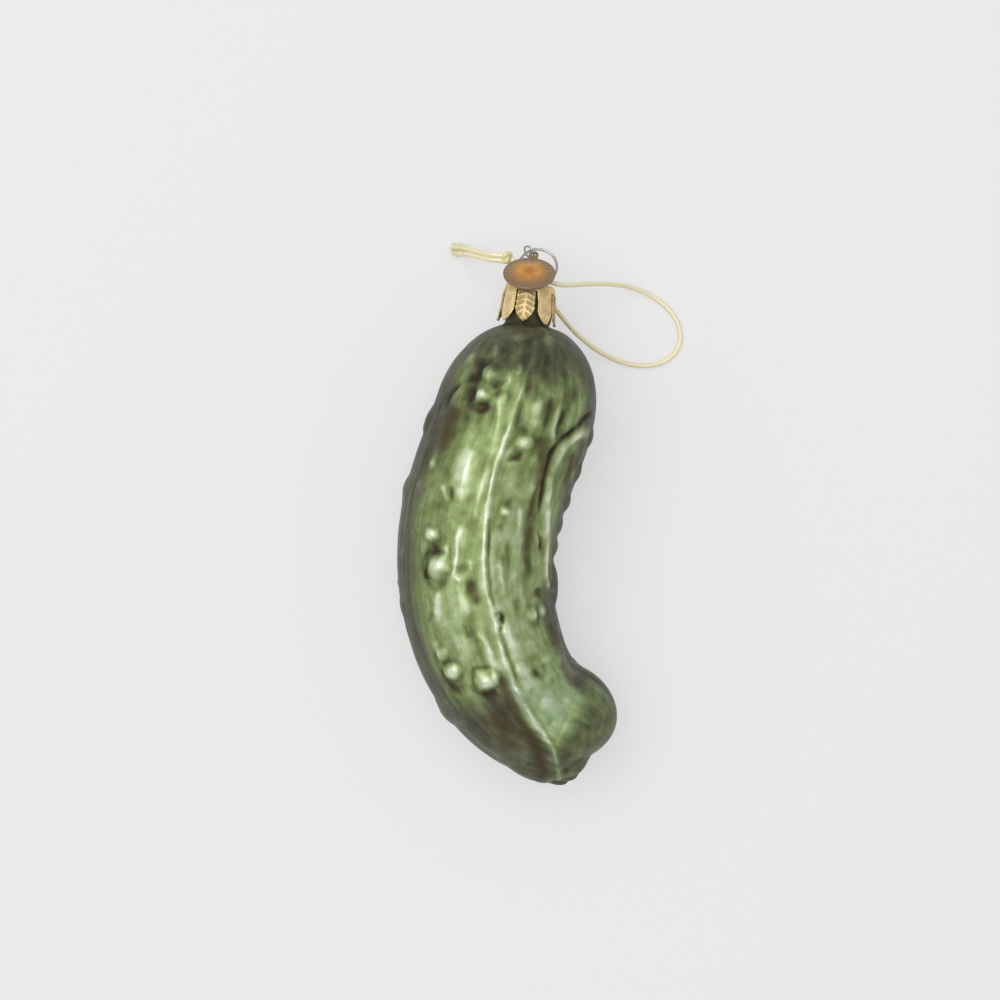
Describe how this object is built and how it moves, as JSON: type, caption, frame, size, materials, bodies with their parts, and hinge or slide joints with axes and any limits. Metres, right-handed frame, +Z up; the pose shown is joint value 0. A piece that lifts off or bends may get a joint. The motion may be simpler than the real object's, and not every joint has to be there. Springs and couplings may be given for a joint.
{
  "type": "glass pickle ornament",
  "caption": "Hollow blown-glass pickle ornament with a petalled crown cap, a spring-wire hanger, a sunburst charm on a ring and a tied hanging cord, lying on its side.",
  "frame": {"origin": "on the table under the middle of the glass, cap, hanger and charm, the cord left out", "axes": "+Z up from the table the ornament lies on, +Y along the neck from the glass towards the hanger, +X to the side that the pickle bends towards"},
  "size_m": [0.0576, 0.1161, 0.035],
  "materials": {
    "lacquered_glass": "silvered inside, satin green lacquer outside, browner along its edges and seam",
    "gold_cap": "bright stamped sheet",
    "wire_steel": "plain drawn wire",
    "charm_gold": "stamped, copper-gold with a darker rim",
    "gold_cord": "braided metallic thread, pale gold"
  },
  "bodies": {
    "pickle": {"glass_pickle": "lacquered_glass"},
    "hanger": {"hanger_wire": "wire_steel", "cord_loop": "gold_cord", "cord_knot": "gold_cord", "cord_tail_upper": "gold_cord", "cord_tail_lower": "gold_cord"},
    "cap": {"crown_cap": "gold_cap"},
    "ring": {"charm_ring": "wire_steel"},
    "charm": {"charm_disc": "charm_gold"}
  },
  "joints": [
    {"name": "cap_pull", "type": "slide", "parent": "pickle", "child": "hanger", "axis": [0, 1, 0], "range_m": [0, 0.014]},
    {"name": "cap_turn", "type": "hinge", "parent": "hanger", "child": "cap", "pos_m": [-0.0041, 0.049, 0.0173], "axis": [0, 1, 0], "continuous": true},
    {"name": "ring_swing", "type": "hinge", "parent": "hanger", "child": "ring", "pos_m": [-0.00552, 0.05669, 0.0145], "axis": [-0.788, -0.5785, 0.2106], "range_deg": [0, 90]},
    {"name": "charm_sway", "type": "hinge", "parent": "ring", "child": "charm", "pos_m": [-0.00423, 0.05604, 0.0154], "axis": [-0.0911, 0.7416, 0.6646], "range_deg": [-12, 12]}
  ]
}
